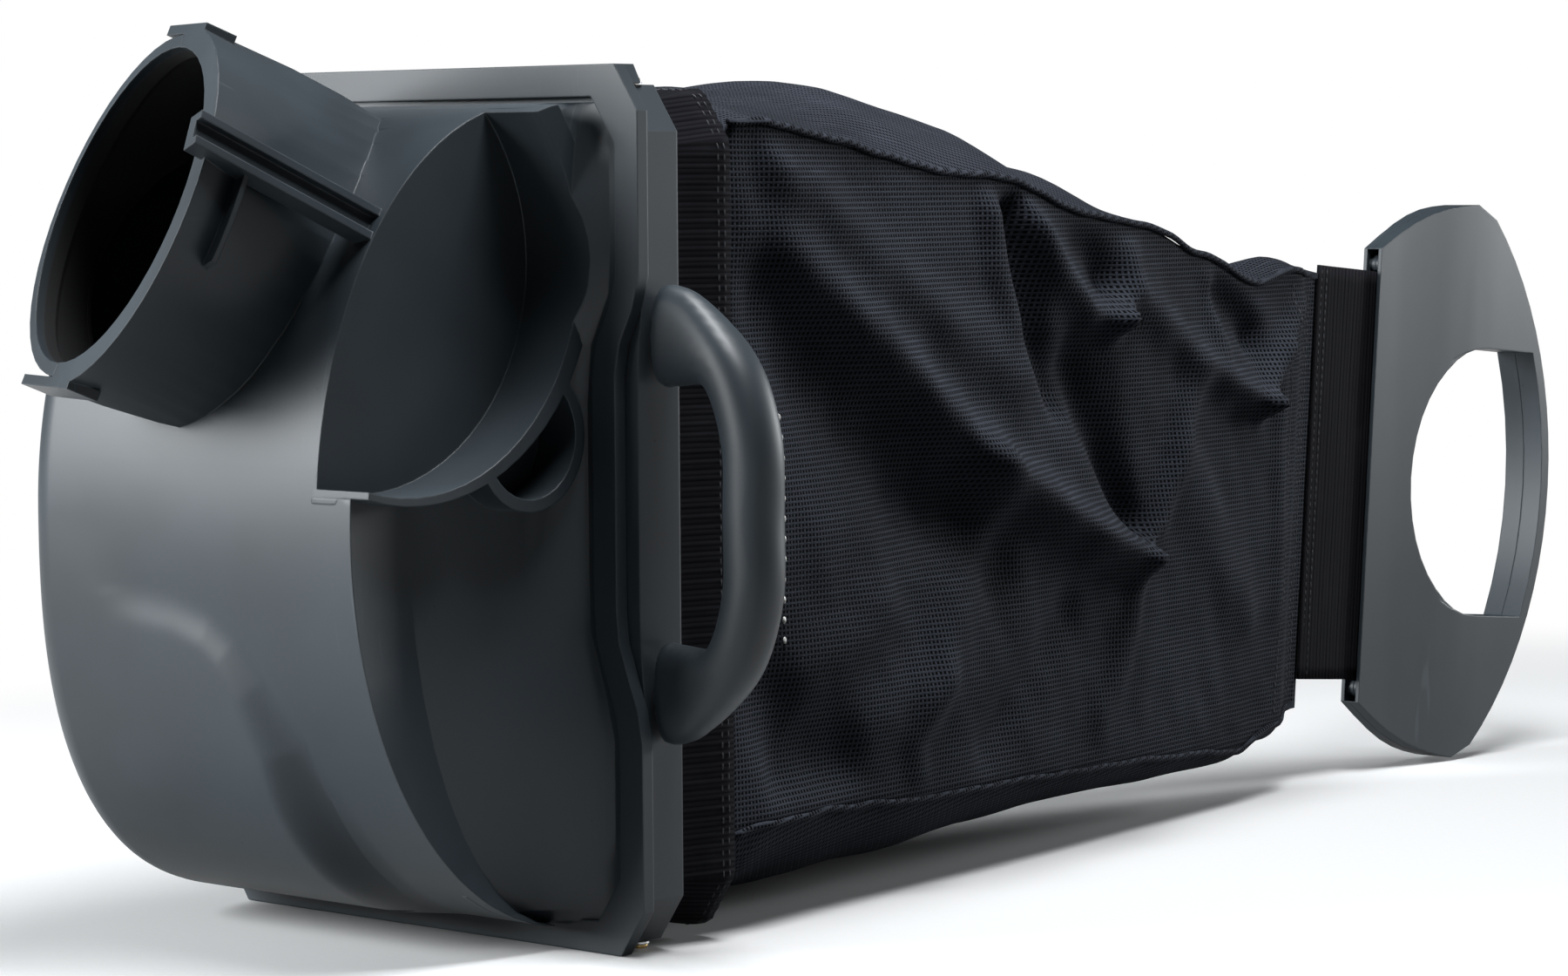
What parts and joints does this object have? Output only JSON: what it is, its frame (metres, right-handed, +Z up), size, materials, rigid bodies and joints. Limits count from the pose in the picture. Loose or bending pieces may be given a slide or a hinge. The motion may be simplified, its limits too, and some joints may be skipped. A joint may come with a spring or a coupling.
{
  "type": "mower grass collection bag",
  "caption": "Grass collection bag for a mower: a moulded hood with a round inlet spout and a wheel pocket, a framed mesh bag, a carry handle and a rear hand grip.",
  "frame": {"origin": "middle of the overall footprint, at the level that the bag stands on", "axes": "+Y runs from the hood to the rear handle, +X is the side with the carry handle, +Z is up"},
  "size_m": [0.3646, 1.166, 0.44],
  "materials": {
    "moulded_plastic": "satin moulded charcoal",
    "mesh_cloth": "fine square open weave, black",
    "webbing": "ribbed black webbing",
    "brass_screw": "polished brass",
    "plated_steel": "bright plated steel"
  },
  "bodies": {
    "root": {"hood": "moulded_plastic", "spout_half_shell": "moulded_plastic", "bag_frame": "moulded_plastic", "carry_handle": "moulded_plastic", "bag_collar": "webbing", "clamp_hoop": "plated_steel", "frame_screw_near_top": "brass_screw", "frame_washer_near_top": "plated_steel", "frame_screw_far_top": "brass_screw", "frame_washer_far_top": "plated_steel", "frame_screw_near_bottom": "brass_screw", "frame_washer_near_bottom": "plated_steel", "frame_screw_far_bottom": "brass_screw", "frame_washer_far_bottom": "plated_steel", "mesh_bag": "mesh_cloth", "rear_strap": "webbing", "strap_rod": "plated_steel", "rear_handle_near_shell": "moulded_plastic", "rear_handle_far_shell": "moulded_plastic", "rear_screw_mouth_top": "plated_steel", "rear_screw_mouth_bottom": "plated_steel", "rear_screw_tip_top": "plated_steel", "rear_screw_tip_bottom": "plated_steel"}
  },
  "joints": []
}
